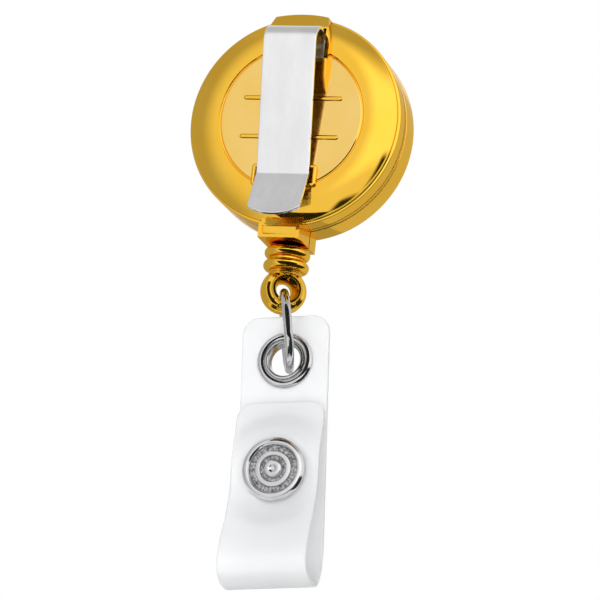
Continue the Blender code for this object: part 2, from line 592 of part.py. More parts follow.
def main():
    clear_scene()
    passage = cord_passage()
    rear_cover(passage)
    front_cover(passage)
    belt_clip()
    spool()
    mainspring()
    cord_runs()
    end_fitting()
    jump_ring()
    strap()
    grommet()
    snap()


main()
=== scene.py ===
"""Looks for the retractable badge reel: fine metal, vinyl and cord pieces built round the CAD frame.

Metres, +Z up. The reel hangs by its clip, which stands on the -Y side of the housing.
"""

import json
import math

import bmesh
import bpy
from mathutils import Matrix, Vector


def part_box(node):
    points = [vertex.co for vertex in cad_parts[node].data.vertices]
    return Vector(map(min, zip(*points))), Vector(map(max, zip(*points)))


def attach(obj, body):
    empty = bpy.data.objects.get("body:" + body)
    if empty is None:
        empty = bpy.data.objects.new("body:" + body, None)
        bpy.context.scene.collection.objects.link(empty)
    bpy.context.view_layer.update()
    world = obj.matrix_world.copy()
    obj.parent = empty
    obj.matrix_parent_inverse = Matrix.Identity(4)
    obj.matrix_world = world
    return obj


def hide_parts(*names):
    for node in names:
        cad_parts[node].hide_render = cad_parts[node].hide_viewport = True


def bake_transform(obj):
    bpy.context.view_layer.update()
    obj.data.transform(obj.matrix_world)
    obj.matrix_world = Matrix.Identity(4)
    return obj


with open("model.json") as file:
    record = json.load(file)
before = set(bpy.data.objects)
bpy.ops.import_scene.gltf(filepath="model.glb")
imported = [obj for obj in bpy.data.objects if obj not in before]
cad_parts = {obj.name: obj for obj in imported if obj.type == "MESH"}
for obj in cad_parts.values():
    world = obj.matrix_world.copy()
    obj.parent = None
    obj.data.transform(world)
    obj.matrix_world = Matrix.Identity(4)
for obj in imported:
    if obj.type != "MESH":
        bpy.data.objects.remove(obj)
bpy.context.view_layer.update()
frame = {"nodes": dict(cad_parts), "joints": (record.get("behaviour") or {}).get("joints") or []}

MM = 0.001

JOINTS = {joint["name"]: joint for joint in frame["joints"]}

# Sizes read from the frame
BODY_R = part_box("front_cover")[1].x
FRONT_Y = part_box("front_cover")[1].y
SEAM_GAP = 0.3 * MM
PARTING_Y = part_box("rear_cover")[1].y + SEAM_GAP / 2
NOZZLE_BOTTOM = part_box("rear_cover")[0].z
CLIP_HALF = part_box("clip_arm")[1].x
CLIP_LEG_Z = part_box("clip_base")[0].z
FITTING_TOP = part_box("end_fitting")[1].z
EYELET_Z = JOINTS["ring_swing"]["pos_m"][2]
EYELET_TURN = math.atan2(-JOINTS["ring_swing"]["axis"][0], JOINTS["ring_swing"]["axis"][1])

# Housing
RIM_R = 15.5 * MM
DISC_R = 10.75 * MM
DOME_RISE = 1.6 * MM
WALL_R = 14.7 * MM
NOZZLE_HALF = 3.1 * MM
NOZZLE_NEAR = 0.1 * MM
NOZZLE_BACK = 8.8 * MM
NOZZLE_TOP = -14.9 * MM
CORD_R = 0.3 * MM
CORD_HOLE_R = 0.6 * MM
POCKET_HALF = 4.85 * MM
POCKET_Y = -0.95 * MM
CROWN_HALF = 4.0 * MM
CROWN_Y = 0.5 * MM
CHANNEL_HALF = 4.2 * MM         # the channel takes the clip's leg
CHANNEL_FLOOR = 1.1 * MM
CHANNEL_LOW, CHANNEL_TOP = 6.0 * MM, 13.35 * MM

# Belt clip
CLIP_T = 0.5 * MM
CLIP_LEG_Y = 0.7 * MM
CLIP_ARM_Y = -4.55 * MM
CLIP_FOLD_Z = JOINTS["clip_flex"]["pos_m"][2]
CLIP_BEND = (-0.85 * MM, -8.75 * MM)
CLIP_TIP = (-4.1 * MM, -15.85 * MM)

# Strap, before it leans
STRAP_TOP = -28.5 * MM
STRAP_Y = PARTING_Y
STRAP_HALF = 6.5 * MM
STRAP_T = 0.7 * MM
STRAP_BEND = -61.5 * MM         # where the back leaf starts to bend into the fold
FOLD_TILT = math.radians(-18)   # so that the bend parts the two leaves
STRAP_CORNER = 2.5 * MM
FLAP_TOP = -41.6 * MM
FLAP_TOP_Y = 4.7 * MM
FLAP_Y = 2.1 * MM
FLAP_LEAN = 0.25                # the flap comes forward by this much for each unit down
FOLD_Y, FOLD_Z = 1.0 * MM, -69.25 * MM
STRAP_LEAN = math.atan2(JOINTS["strap_open"]["axis"][2], JOINTS["strap_open"]["axis"][0])
STRAP_SHIFT = 0.67 * MM
GROMMET_Z = -35.1 * MM
GROMMET_HOLE_R = 2.75 * MM      # hole in the vinyl
SNAP_Z = -52.2 * MM
SNAP_R = 4.65 * MM
PRESSED_RUN = 4.5 * MM          # the strap lies flat under the snap and bends away over this distance


# ---------------------------------------------------------------- shapes

def rounded(points, radius, steps=4, closed=False):
    """A polyline with its corners rounded; a point may carry its own radius as a third number."""
    result = []
    count = len(points)
    for i, point in enumerate(points):
        corner = Vector(point[:2])
        reach = point[2] if len(point) > 2 else radius
        if not closed and i in (0, count - 1) or reach == 0:
            result.append(tuple(corner))
            continue
        before = Vector(points[i - 1][:2]) - corner
        after = Vector(points[(i + 1) % count][:2]) - corner
        turning = math.pi - before.angle(after)
        cut = min(reach * math.tan(turning / 2), 0.48 * before.length, 0.48 * after.length)
        start, end = corner + before.normalized() * cut, corner + after.normalized() * cut
        if turning < 0.02:
            result.append(tuple(corner))
            continue
        for k in range(steps + 1):
            t = k / steps
            result.append(tuple((1 - t) ** 2 * start + 2 * t * (1 - t) * corner + t ** 2 * end))
    return result


def arc(centre_u, centre_v, radius, start, end, count):
    """Points of a circular arc, angles in degrees."""
    angles = [math.radians(start + (end - start) * i / count) for i in range(count + 1)]
    return [(centre_u + radius * math.cos(a), centre_v + radius * math.sin(a)) for a in angles]


def finish_mesh(name, bm, look, sharp=40):
    """Make an object of a bmesh, with its faces pointing out and its sharp edges marked."""
    bmesh.ops.remove_doubles(bm, verts=bm.verts, dist=1e-8)
    bmesh.ops.recalc_face_normals(bm, faces=bm.faces)
    mesh = bpy.data.meshes.new(name)
    bm.to_mesh(mesh)
    bm.free()
    mesh.shade_smooth()
    mesh.set_sharp_from_angle(angle=math.radians(sharp))
    obj = bpy.data.objects.new(name, mesh)
    bpy.context.scene.collection.objects.link(obj)
    if look:
        mesh.materials.append(look)
    return obj


def lathe(name, outline, look, centre=(0, 0, 0), turn=(-90, 0, 0), steps=192, closed=False, sharp=40):
    """Turn an outline of (radius, height) points about an axis; the default axis runs along +Y."""
    pose = Matrix.Translation(centre) @ Matrix.Rotation(math.radians(turn[2]), 4, "Z")
    pose = pose @ Matrix.Rotation(math.radians(turn[0]), 4, "X")
    bm = bmesh.new()
    rings = []
    for i in range(steps):
        angle = math.tau * i / steps
        rings.append([bm.verts.new(pose @ Vector((r * math.cos(angle), r * math.sin(angle), h)))
                      for r, h in outline])
    last = len(outline) if closed else len(outline) - 1
    for i in range(steps):
        here, there = rings[i], rings[(i + 1) % steps]
        for j in range(last):
            k = (j + 1) % len(outline)
            bm.faces.new((here[j], here[k], there[k], there[j]))
    return finish_mesh(name, bm, look, sharp)


def prism(name, outline, axis, start, end, look=None):
    """Extrude an outline along X (points are y, z) or along Y (points are x, z)."""
    bm = bmesh.new()
    if axis == "X":
        rows = [[bm.verts.new((depth, a, b)) for a, b in outline] for depth in (start, end)]
    else:
        rows = [[bm.verts.new((a, depth, b)) for a, b in outline] for depth in (start, end)]
    count = len(outline)
    bm.faces.new(rows[0])
    bm.faces.new(rows[1])
    for i in range(count):
        k = (i + 1) % count
        bm.faces.new((rows[0][i], rows[0][k], rows[1][k], rows[1][i]))
    return finish_mesh(name, bm, look)


def block(name, low, high, look=None):
    """A box between two opposite corners."""
    (x0, y0, z0), (x1, y1, z1) = low, high
    return prism(name, [(x0, z0), (x1, z0), (x1, z1), (x0, z1)], "Y", y0, y1, look)


def rounded_box(half_x, low, high, radius, steps=6):
    """Outline of a rectangle with round corners, as (x, z) points."""
    corners = [(-half_x, low), (half_x, low), (half_x, high), (-half_x, high)]
    return rounded(corners, radius, steps, closed=True)


def combine(target, tools, operation="DIFFERENCE"):
    """Boolean the tools into the target and remove them."""
    for tool in tools:
        boolean = target.modifiers.new(tool.name, "BOOLEAN")
        boolean.operation = operation
        boolean.solver = "EXACT"
        boolean.object = tool
    apply_modifiers(target)
    for tool in tools:
        bpy.data.objects.remove(tool)


def apply_modifiers(obj):
    """Keep the shape that the modifiers give."""
    graph = bpy.context.evaluated_depsgraph_get()
    mesh = bpy.data.meshes.new_from_object(obj.evaluated_get(graph))
    obj.modifiers.clear()
    obj.data = mesh


def soften(obj, width):
    """Round the edges of a hard-edged piece."""
    bevel = obj.modifiers.new("round_edges", "BEVEL")
    bevel.width = width
    bevel.segments = 3
    bevel.limit_method = "ANGLE"
    bevel.angle_limit = math.radians(30)
    obj.modifiers.new("even_normals", "WEIGHTED_NORMAL")
    apply_modifiers(obj)


def tube(name, points, radius, look, closed=False, sides=16):
    """A round bar or wire along points, as a mesh."""
    curve = bpy.data.curves.new(name, "CURVE")
    curve.dimensions = "3D"
    curve.bevel_depth = radius
    curve.bevel_resolution = sides // 4
    curve.use_fill_caps = not closed
    spline = curve.splines.new("POLY")
    spline.points.add(len(points) - 1)
    for point, spot in zip(spline.points, points):
        point.co = (*spot, 1)
    spline.use_cyclic_u = closed
    holder = bpy.data.objects.new(name, curve)
    bpy.context.scene.collection.objects.link(holder)
    graph = bpy.context.evaluated_depsgraph_get()
    bm = bmesh.new()
    bm.from_mesh(bpy.data.meshes.new_from_object(holder.evaluated_get(graph)))
    bpy.data.objects.remove(holder)
    bpy.data.curves.remove(curve)
    return finish_mesh(name, bm, look)


def bezier(points, count):
    """Points of a cubic curve, without its first point."""
    p0, p1, p2, p3 = (Vector(p) for p in points)
    route = []
    for i in range(1, count + 1):
        t = i / count
        route.append(tuple((1 - t) ** 3 * p0 + 3 * t * (1 - t) ** 2 * p1
                           + 3 * t ** 2 * (1 - t) * p2 + t ** 3 * p3))
    return route


class Route:
    """A line in the YZ plane, read by distance along it."""

    def __init__(self, points):
        self.points = [Vector(p) for p in points]
        self.marks = [0.0]
        for a, b in zip(self.points, self.points[1:]):
            self.marks.append(self.marks[-1] + (b - a).length)
        self.length = self.marks[-1]

    def at(self, distance):
        """The point and the direction at a distance; past the ends it runs on straight."""
        i = 0
        while i < len(self.marks) - 2 and self.marks[i + 1] < distance:
            i += 1
        span = self.marks[i + 1] - self.marks[i]
        along = (self.points[i + 1] - self.points[i]) / span
        return self.points[i] + along * (distance - self.marks[i]), along


def strip_section(half_width, thickness, edge, columns):
    """Cross-section of a strip with rounded edges, as (across, through) points."""
    inner = [half_width * (2 * i / columns - 1) for i in range(1, columns)]
    section = []
    for side, first_angle in ((1, -90), (-1, 90)):
        for quarter in (0, 1):
            begin = first_angle + 90 * quarter
            through = side * (2 * quarter - 1) * (thickness / 2 - edge)
            section += arc(side * (half_width - edge), through, edge, begin, begin + 90, 3)
        flat = inner if side == -1 else list(reversed(inner))
        section += [(x, side * thickness / 2) for x in flat]
    return section


def quarter_steps(radius, count):
    """Distances from an end at which a round corner gets its points."""
    return [radius * (1 - math.cos(math.pi / 2 * i / count)) for i in range(count + 1)]


def strip(name, route, half_width, thickness, look, edge, spacing, corners=(0, 0), tip_arc=0.0,
          tip_run=1.0, columns=12, square=(False, False)):
    """A flat strip bent along a route, with rounded edges and round corners.

    With tip_arc the far end bulges by that much in an arc, which fades out over tip_run.
    A square end has no rounding, so that another strip can go on from there.
    """
    section = strip_section(half_width, thickness, edge, columns)
    near, far = (sorted(set(quarter_steps(edge, 3) + quarter_steps(corner, 8))) for corner in corners)
    plain = route.length - near[-1] - far[-1]
    count = max(2, int(plain / spacing))
    middle = [near[-1] + plain * i / count for i in range(1, count)]
    places = near + middle + [route.length - d for d in reversed(far)]
    bm = bmesh.new()
    rows = []
    for s in places:
        to_end = min(s, route.length - s)
        end = 0 if s < route.length / 2 else 1
        corner = corners[end]
        rounding = 0 if square[end] else edge
        narrow = thin = 0.0
        if to_end < corner:
            narrow = corner - math.sqrt(corner ** 2 - (corner - to_end) ** 2)
        if to_end < rounding:
            thin = edge - math.sqrt(edge ** 2 - (edge - to_end) ** 2)
        row = []
        for x, t in section:
            x_here = x * (half_width - max(narrow, thin)) / half_width
            t_here = t * (thickness / 2 - thin) / (thickness / 2)
            s_here = s
            if tip_arc and s > route.length - tip_run:
                share = (s - route.length + tip_run) / tip_run
                sweep = (half_width ** 2 + tip_arc ** 2) / (2 * tip_arc)
                s_here -= share * (sweep - math.sqrt(sweep ** 2 - x_here ** 2))
            point, along = route.at(s_here)
            y, z = point + t_here * Vector((-along.y, along.x))
            row.append(bm.verts.new((x_here, y, z)))
        rows.append(row)
    size = len(section)
    for a, b in zip(rows, rows[1:]):
        for j in range(size):
            k = (j + 1) % size
            bm.faces.new((a[j], a[k], b[k], b[j]))
    bm.faces.new(rows[0])
    bm.faces.new(rows[-1])
    return finish_mesh(name, bm, look, sharp=60)


# ---------------------------------------------------------------- materials

class Look:
    """A Principled material with its node tree at hand."""

    def __init__(self, name, colour, metallic, roughness):
        self.material = bpy.data.materials.new(name)
        self.material.use_nodes = True
        self.nodes = self.material.node_tree.nodes
        self.links = self.material.node_tree.links
        self.shader = self.nodes["Principled BSDF"]
        self.shader.inputs["Base Color"].default_value = (*colour, 1)
        self.shader.inputs["Metallic"].default_value = metallic
        self.shader.inputs["Roughness"].default_value = roughness
        self.place = self.nodes.new("ShaderNodeTexCoord").outputs["Object"]

    def noise(self, scale, stretch=(1, 1, 1), detail=3, roughness=0.5):
        """A noise value in object space; scale is in cells for each metre."""
        mapping = self.nodes.new("ShaderNodeMapping")
        mapping.inputs["Scale"].default_value = stretch
        texture = self.nodes.new("ShaderNodeTexNoise")
        texture.inputs["Scale"].default_value = scale
        texture.inputs["Detail"].default_value = detail
        texture.inputs["Roughness"].default_value = roughness
        self.links.new(self.place, mapping.inputs["Vector"])
        self.links.new(mapping.outputs["Vector"], texture.inputs["Vector"])
        return texture.outputs["Fac"]

    def spread(self, value, low, high, start=0.3, end=0.7):
        """Map a noise value to a range."""
        remap = self.nodes.new("ShaderNodeMapRange")
        for socket, number in (("From Min", start), ("From Max", end), ("To Min", low), ("To Max", high)):
            remap.inputs[socket].default_value = number
        self.links.new(value, remap.inputs["Value"])
        return remap.outputs["Result"]

    def tint(self, value, first, second):
        """Colour that goes from first to second with a value."""
        mix = self.nodes.new("ShaderNodeMix")
        mix.data_type = "RGBA"
        mix.inputs["A"].default_value = (*first, 1)
        mix.inputs["B"].default_value = (*second, 1)
        self.links.new(value, mix.inputs["Factor"])
        self.links.new(mix.outputs["Result"], self.shader.inputs["Base Color"])

    def bump(self, height, distance):
        """Relief of a given depth, for grain too fine to model."""
        bump = self.nodes.new("ShaderNodeBump")
        bump.inputs["Distance"].default_value = distance
        self.links.new(height, bump.inputs["Height"])
        self.links.new(bump.outputs["Normal"], self.shader.inputs["Normal"])

    def drive(self, socket, value):
        """Feed a value into a socket of the shader."""
        self.links.new(value, self.shader.inputs[socket])


def gold_plate():
    """Bright gold plating over moulded plastic, nearly a mirror."""
    look = Look("gold_plate", (0.97, 0.57, 0.06), 1.0, 0.07)
    look.tint(look.spread(look.noise(180, detail=2), 0, 1), (0.96, 0.55, 0.05), (0.97, 0.58, 0.07))
    look.drive("Roughness", look.spread(look.noise(900, detail=4), 0.05, 0.1))
    look.bump(look.noise(420, detail=1), 0.0000012)
    look.shader.inputs["Specular Tint"].default_value = (1.0, 0.85, 0.55, 1)
    return look.material


def satin_gold_painted_reflection():
    """The plating on the flat disc, moulded with a finer grain; its paler base colour is a painted reflection
    of the bright white surroundings.
    """
    look = Look("satin_gold_painted_reflection", (0.95, 0.63, 0.17), 1.0, 0.16)
    # painted reflection: a paler gold than the rest of the plating, for the white that the flat disc mirrors
    look.tint(look.spread(look.noise(160, detail=2), 0, 1), (0.94, 0.61, 0.15), (0.96, 0.65, 0.2))
    look.drive("Roughness", look.spread(look.noise(1400, detail=4), 0.12, 0.2))
    look.bump(look.noise(1100, detail=2), 0.0000015)
    return look.material


def clip_steel():
    """Nickel-plated spring steel with fine rolling lines along the strip."""
    look = Look("clip_steel", (0.86, 0.86, 0.88), 1.0, 0.2)
    rolled = look.noise(900, (1, 1, 0.03), detail=4, roughness=0.7)
    look.tint(look.spread(look.noise(350, (1, 1, 0.4)), 0, 1), (0.86, 0.86, 0.87), (0.94, 0.94, 0.95))
    look.drive("Roughness", look.spread(rolled, 0.15, 0.3))
    look.bump(rolled, 0.000002)
    return look.material


def nickel_plate():
    """Bright nickel plating with faint handling marks."""
    look = Look("nickel_plate", (0.7, 0.7, 0.71), 1.0, 0.1)
    look.tint(look.spread(look.noise(500), 0, 1), (0.66, 0.66, 0.67), (0.74, 0.74, 0.75))
    look.drive("Roughness", look.spread(look.noise(1500, detail=5), 0.06, 0.16))
    look.bump(look.noise(700, detail=2), 0.0000012)
    return look.material


def grained_nickel_painted_shade():
    """The sunk rings of the snap's cap: nickel with a coarse stamped grain, darkened nearly to black as
    painted shade in the sunk rings.
    """
    look = Look("grained_nickel_painted_shade", (0.45, 0.45, 0.46), 1.0, 0.2)
    grain = look.noise(2600, detail=2, roughness=0.6)
    # painted shade: the grain's tint runs down to near black, standing in for the shade in the sunk rings
    look.tint(look.spread(grain, 0, 1), (0.05, 0.05, 0.05), (0.6, 0.6, 0.61))
    look.drive("Roughness", look.spread(look.noise(2600), 0.12, 0.3))
    look.bump(grain, 0.00012)
    return look.material


def frosted_vinyl():
    """Milky soft vinyl that light passes through."""
    look = Look("frosted_vinyl", (0.93, 0.94, 0.95), 0.0, 0.34)
    look.tint(look.spread(look.noise(260, detail=3), 0, 1), (0.925, 0.935, 0.945), (0.955, 0.96, 0.965))
    look.shader.inputs["Transmission Weight"].default_value = 0.55
    look.shader.inputs["IOR"].default_value = 1.45
    look.drive("Roughness", look.spread(look.noise(2400, detail=4), 0.3, 0.42))
    look.bump(look.noise(3500, detail=2), 0.000002)
    return look.material


def nylon_braid():
    """Thin black braided cord."""
    look = Look("nylon_braid", (0.03, 0.03, 0.032), 0.0, 0.65)
    wave = look.nodes.new("ShaderNodeTexWave")
    wave.wave_type = "BANDS"
    wave.bands_direction = "DIAGONAL"
    wave.inputs["Scale"].default_value = 900
    wave.inputs["Distortion"].default_value = 1.5
    look.links.new(look.place, wave.inputs["Vector"])
    look.tint(look.spread(wave.outputs["Fac"], 0, 1, 0, 1), (0.015, 0.015, 0.016), (0.07, 0.07, 0.075))
    look.bump(wave.outputs["Fac"], 0.00003)
    return look.material


def moulded_acetal():
    """Plain off-white moulded plastic for the inner pieces."""
    look = Look("moulded_acetal", (0.82, 0.82, 0.79), 0.0, 0.5)
    look.tint(look.spread(look.noise(300), 0, 1), (0.79, 0.79, 0.76), (0.84, 0.84, 0.82))
    look.drive("Roughness", look.spread(look.noise(2500, detail=3), 0.42, 0.58))
    look.bump(look.noise(3000), 0.000004)
    return look.material


def spring_strip():
    """Blued spring steel."""
    look = Look("spring_strip", (0.35, 0.36, 0.4), 1.0, 0.3)
    look.tint(look.spread(look.noise(250), 0, 1), (0.28, 0.3, 0.36), (0.42, 0.42, 0.45))
    look.drive("Roughness", look.spread(look.noise(1200, (1, 0.05, 1)), 0.22, 0.38))
    return look.material


GOLD = gold_plate()
DISC_GOLD_PAINTED_REFLECTION = satin_gold_painted_reflection()
STEEL = clip_steel()
NICKEL = nickel_plate()
GRAINED_PAINTED_SHADE = grained_nickel_painted_shade()
VINYL = frosted_vinyl()
BRAID = nylon_braid()
ACETAL = moulded_acetal()
SPRING = spring_strip()


def place(piece, body, slot, *nodes):
    """Put a piece on its body, in place of the CAD nodes it stands for; a blended piece has no body here."""
    if nodes:
        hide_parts(*nodes)
    if body:
        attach(piece, body)


# ---------------------------------------------------------------- housing

def dome_outline():
    """Rear cover's outer side, from the rim's step down to the axis."""
    groove = 0.22 * MM
    edge_r = DISC_R + groove
    run = RIM_R - edge_r
    bulge = (run ** 2 + DOME_RISE ** 2) / (2 * DOME_RISE)
    spread = math.degrees(math.asin(run / bulge))
    outline = rounded([(BODY_R, PARTING_Y - SEAM_GAP / 2 - 0.5 * MM), (BODY_R, DOME_RISE + 0.55 * MM),
                       (RIM_R + 0.06 * MM, DOME_RISE + 0.45 * MM), (RIM_R, DOME_RISE - 0.02 * MM),
                       arc(edge_r, bulge, bulge, spread - 90.5, -90, 4)[0]], 0.13 * MM)
    outline += arc(edge_r, bulge, bulge, spread - 91.5, -90, 30)
    outline += rounded([(edge_r, 0), (DISC_R, 0.24 * MM), (DISC_R - groove, 0), (DISC_R - MM, 0)],
                       0.14 * MM)
    return outline + [(0, 0)]


def rear_shell():
    """The cover with the flat disc, cut for the clip's leg and the grip recess."""
    rim = PARTING_Y - SEAM_GAP / 2
    floor = 1.95 * MM
    inside = [(0, floor), (9.8 * MM, floor), (13.9 * MM, 2.75 * MM), (WALL_R, 3.4 * MM),
              (WALL_R, rim, 0.05 * MM), (BODY_R, rim, 0.12 * MM), (BODY_R, rim - MM, 0)]
    shell = lathe("rear_shell", rounded(inside, 0.2 * MM) + dome_outline(), GOLD, steps=256)
    window = prism("window", rounded_box(4.25 * MM, -10.1 * MM, -7.6 * MM, 0.5 * MM), "Y",
                   -MM, 0.6 * MM)
    channel = block("channel", (-CHANNEL_HALF, -MM, CHANNEL_LOW), (CHANNEL_HALF, CHANNEL_FLOOR, CHANNEL_TOP))
    combine(shell, [window, channel])
    # the flat disc takes the paler gold, a painted reflection of the white surroundings
    shell.data.materials.append(DISC_GOLD_PAINTED_REFLECTION)
    for face in shell.data.polygons:
        near = face.center.y < 0.05 * MM
        face.material_index = 1 if near and math.hypot(face.center.x, face.center.z) < DISC_R else 0
    shell.data.shade_smooth()
    shell.data.set_sharp_from_angle(angle=math.radians(30))
    place(shell, "housing", "gold_housing", "rear_cover")


def grip_cheeks():
    """Raised brackets either side of the recess under the clip's lower bend."""
    inner, outer, top, low = 3.9 * MM, 4.6 * MM, -7.5 * MM, -10.25 * MM
    path = rounded([(inner, top), (outer, top), (outer, low), (inner, low)], 0.7 * MM, 8)
    for side in (-1, 1):
        points = [(side * x, -0.28 * MM, z) for x, z in path]
        name = "grip_cheek_right" if side > 0 else "grip_cheek_left"
        cheek = tube(name, points, 0.32 * MM, GOLD)
        place(cheek, "housing", "gold_housing")


def disc_lines():
    """Two thin raised lines across the disc."""
    half, radius, rise, apart = 7.5 * MM, 0.38 * MM, 0.25 * MM, 5.9 * MM
    for name, z in (("disc_line_upper", apart / 2), ("disc_line_lower", -apart / 2)):
        outline = arc(0, half - radius, radius, 90, 0, 8) + arc(0, radius - half, radius, 0, -90, 8)
        line = lathe(name, outline, GOLD, steps=24)
        line.data.transform(Matrix.Translation((0, radius - rise, z)) @ Matrix.Rotation(math.pi / 2, 4, "Z"))
        place(line, "housing", "gold_housing")


def clip_pocket():
    """Block that holds the clip's leg, with a sloping tongue below and a round crown above."""
    low, shoulder, top = 8.3 * MM, 12.2 * MM, 16 * MM
    under, ledge, back = 1.05 * MM, 15 * MM, 2.2 * MM
    pocket = prism("clip_pocket", [(under, low), (POCKET_Y, low), (POCKET_Y, 13.6 * MM), (CROWN_Y, top),
                                   (back, top), (back, ledge), (under, ledge)],
                   "X", -POCKET_HALF, POCKET_HALF, GOLD)
    spread = math.asin(CROWN_HALF / BODY_R)
    crown = [(BODY_R * math.sin(a), BODY_R * math.cos(a)) for a in (spread * (1 - i / 12) for i in range(25))]
    outline = prism("outline", [(POCKET_HALF, low - MM), (POCKET_HALF, shoulder)] + crown
                    + [(-POCKET_HALF, shoulder), (-POCKET_HALF, low - MM)], "Y", -2 * MM, 3 * MM)
    combine(pocket, [outline], "INTERSECT")
    foot, join = 3.7 * MM, 8.6 * MM
    tongue = prism("tongue", [(0.8 * MM, foot), (0, foot), (-0.55 * MM, 4.5 * MM), (-1.05 * MM, 6.0 * MM),
                              (-1.6 * MM, join), (0.8 * MM, join)], "X", -POCKET_HALF, POCKET_HALF)
    combine(pocket, [tongue], "UNION")
    channel = block("channel", (-CHANNEL_HALF, -2 * MM, join), (CHANNEL_HALF, CHANNEL_FLOOR, CHANNEL_TOP))
    slot = block("slot", (-CHANNEL_HALF, CLIP_LEG_Y - 0.45 * MM, CHANNEL_LOW),
                 (CHANNEL_HALF, CHANNEL_FLOOR, join + 0.2 * MM))
    combine(pocket, [channel, slot])
    soften(pocket, 0.13 * MM)
    place(pocket, "housing", "gold_housing")


def nozzle(name, low_y, high_y):
    """Half of the square block that the cord leaves through; the near one has a sunk panel."""
    piece = block(name, (-NOZZLE_HALF, low_y, NOZZLE_BOTTOM), (NOZZLE_HALF, high_y, NOZZLE_TOP), GOLD)
    if low_y < PARTING_Y:
        face = block("face", (-NOZZLE_HALF, NOZZLE_NEAR, NOZZLE_BOTTOM), (NOZZLE_HALF, 2 * MM, -16 * MM))
        combine(piece, [face], "UNION")
        half, low, high = 2.55 * MM, -17.65 * MM, -16.4 * MM
        panel = prism("panel", [(-MM, low), (NOZZLE_NEAR + 0.52 * MM, low), (NOZZLE_NEAR + 0.25 * MM, high),
                                (-MM, high)], "X", -half, half)
        combine(piece, [panel])
    hole = lathe("hole", [(0, 0), (CORD_HOLE_R, 0), (CORD_HOLE_R, 1), (0, 1)], None,
                 centre=(0, PARTING_Y, -0.5), turn=(0, 0, 0), steps=48)
    combine(piece, [hole])
    soften(piece, 0.12 * MM)
    place(piece, "housing", "gold_housing")


def front_shell():
    """The cover away from the clip, with a shallow round recess for a label."""
    rim = PARTING_Y + SEAM_GAP / 2
    floor, label_y = FRONT_Y - 1.2 * MM, FRONT_Y - 0.3 * MM
    lip_r, lip_y, step_r, wall_r = 14.4 * MM, 4.2 * MM, 13.95 * MM, 14.6 * MM
    arbor_r, arbor_end = 2.0 * MM, 1.6 * MM
    outline = [(0, label_y), (12.6 * MM, label_y, 0.15 * MM), (12.9 * MM, FRONT_Y, 0.15 * MM),
               (BODY_R, FRONT_Y, 1.3 * MM), (BODY_R, rim, 0.12 * MM), (lip_r, rim), (lip_r, lip_y),
               (step_r, lip_y), (step_r, 6.6 * MM), (wall_r, 7.2 * MM), (wall_r, floor),
               (arbor_r + 0.8 * MM, floor), (arbor_r, floor - 0.6 * MM), (arbor_r, arbor_end + 0.3 * MM),
               (arbor_r - 0.3 * MM, arbor_end), (0, arbor_end)]
    shell = lathe("front_shell", rounded(outline, 0.08 * MM, 8), GOLD, steps=256)
    place(shell, "housing", "gold_housing", "front_cover")


# ---------------------------------------------------------------- clip

def belt_clip():
    """One folded strip, with its fold at the clip's flex joint."""
    middle, radius = (CLIP_LEG_Y + CLIP_ARM_Y) / 2, (CLIP_LEG_Y - CLIP_ARM_Y) / 2
    route = [(CLIP_LEG_Y, CLIP_LEG_Z)] + arc(middle, CLIP_FOLD_Z, radius, 0, 180, 48)
    route += rounded([route[-1], (*CLIP_BEND, 1.0 * MM), CLIP_TIP], 0, 10)[1:]
    clip = strip("belt_clip", Route(route), CLIP_HALF, CLIP_T, STEEL, edge=0.09 * MM,
                 spacing=0.12 * MM, corners=(0, 0.5 * MM), tip_arc=1.3 * MM, tip_run=4 * MM)
    place(clip, None, "clip_steel", "clip_base", "clip_arm")
    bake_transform(clip)


# ---------------------------------------------------------------- cord end

def end_fitting():
    """Two ribs, a beaded neck and a round eyelet."""
    rib, tube_r, pitch = 2.53 * MM, 0.82 * MM, 1.9 * MM
    chamber_r, chamber_low, chamber_top = 1.4 * MM, -21.3 * MM, -19.4 * MM
    outline = [(0, chamber_low), (chamber_r, chamber_low), (chamber_r, chamber_top),
               (CORD_HOLE_R, chamber_top), (CORD_HOLE_R, FITTING_TOP)]
    for i in range(2):
        middle = FITTING_TOP - tube_r - i * pitch
        outline += arc(rib, middle, tube_r, 90, -90, 20)
    neck, neck_end = -21.95 * MM, -22.85 * MM
    for bead in range(2):
        outline += arc(2.25 * MM, neck - bead * 0.42 * MM, 0.19 * MM, 80, -80, 8)
    outline += [(2.0 * MM, neck_end), (0, neck_end)]
    body = lathe("fitting_body", outline, GOLD, centre=(0, PARTING_Y, 0), turn=(0, 0, 0), steps=128,
                 sharp=60)
    place(body, "fitting", "gold_housing", "end_fitting")
    face, waist = 2.15 * MM, 1.13 * MM
    side = [(3.37 * MM, 0), (3.3 * MM, 0.75 * MM), (2.95 * MM, 1.35 * MM), (2.5 * MM, 1.6 * MM, 0.3 * MM),
            (2.3 * MM, 1.75 * MM, 0.08 * MM), (2.15 * MM, face, 0.12 * MM), (1.75 * MM, face, 0.12 * MM),
            (1.37 * MM, 1.2 * MM), (waist, 0.5 * MM), (waist, 0)]
    whole = side + [(p[0], -p[1], *p[2:]) for p in reversed(side[1:-1])]
    eyelet = lathe("fitting_eyelet", rounded(whole, 0.5 * MM, 5, closed=True), GOLD,
                   centre=(0, PARTING_Y, EYELET_Z), turn=(-90, 0, math.degrees(EYELET_TURN)),
                   steps=128, closed=True, sharp=50)
    place(eyelet, "fitting", "gold_housing")


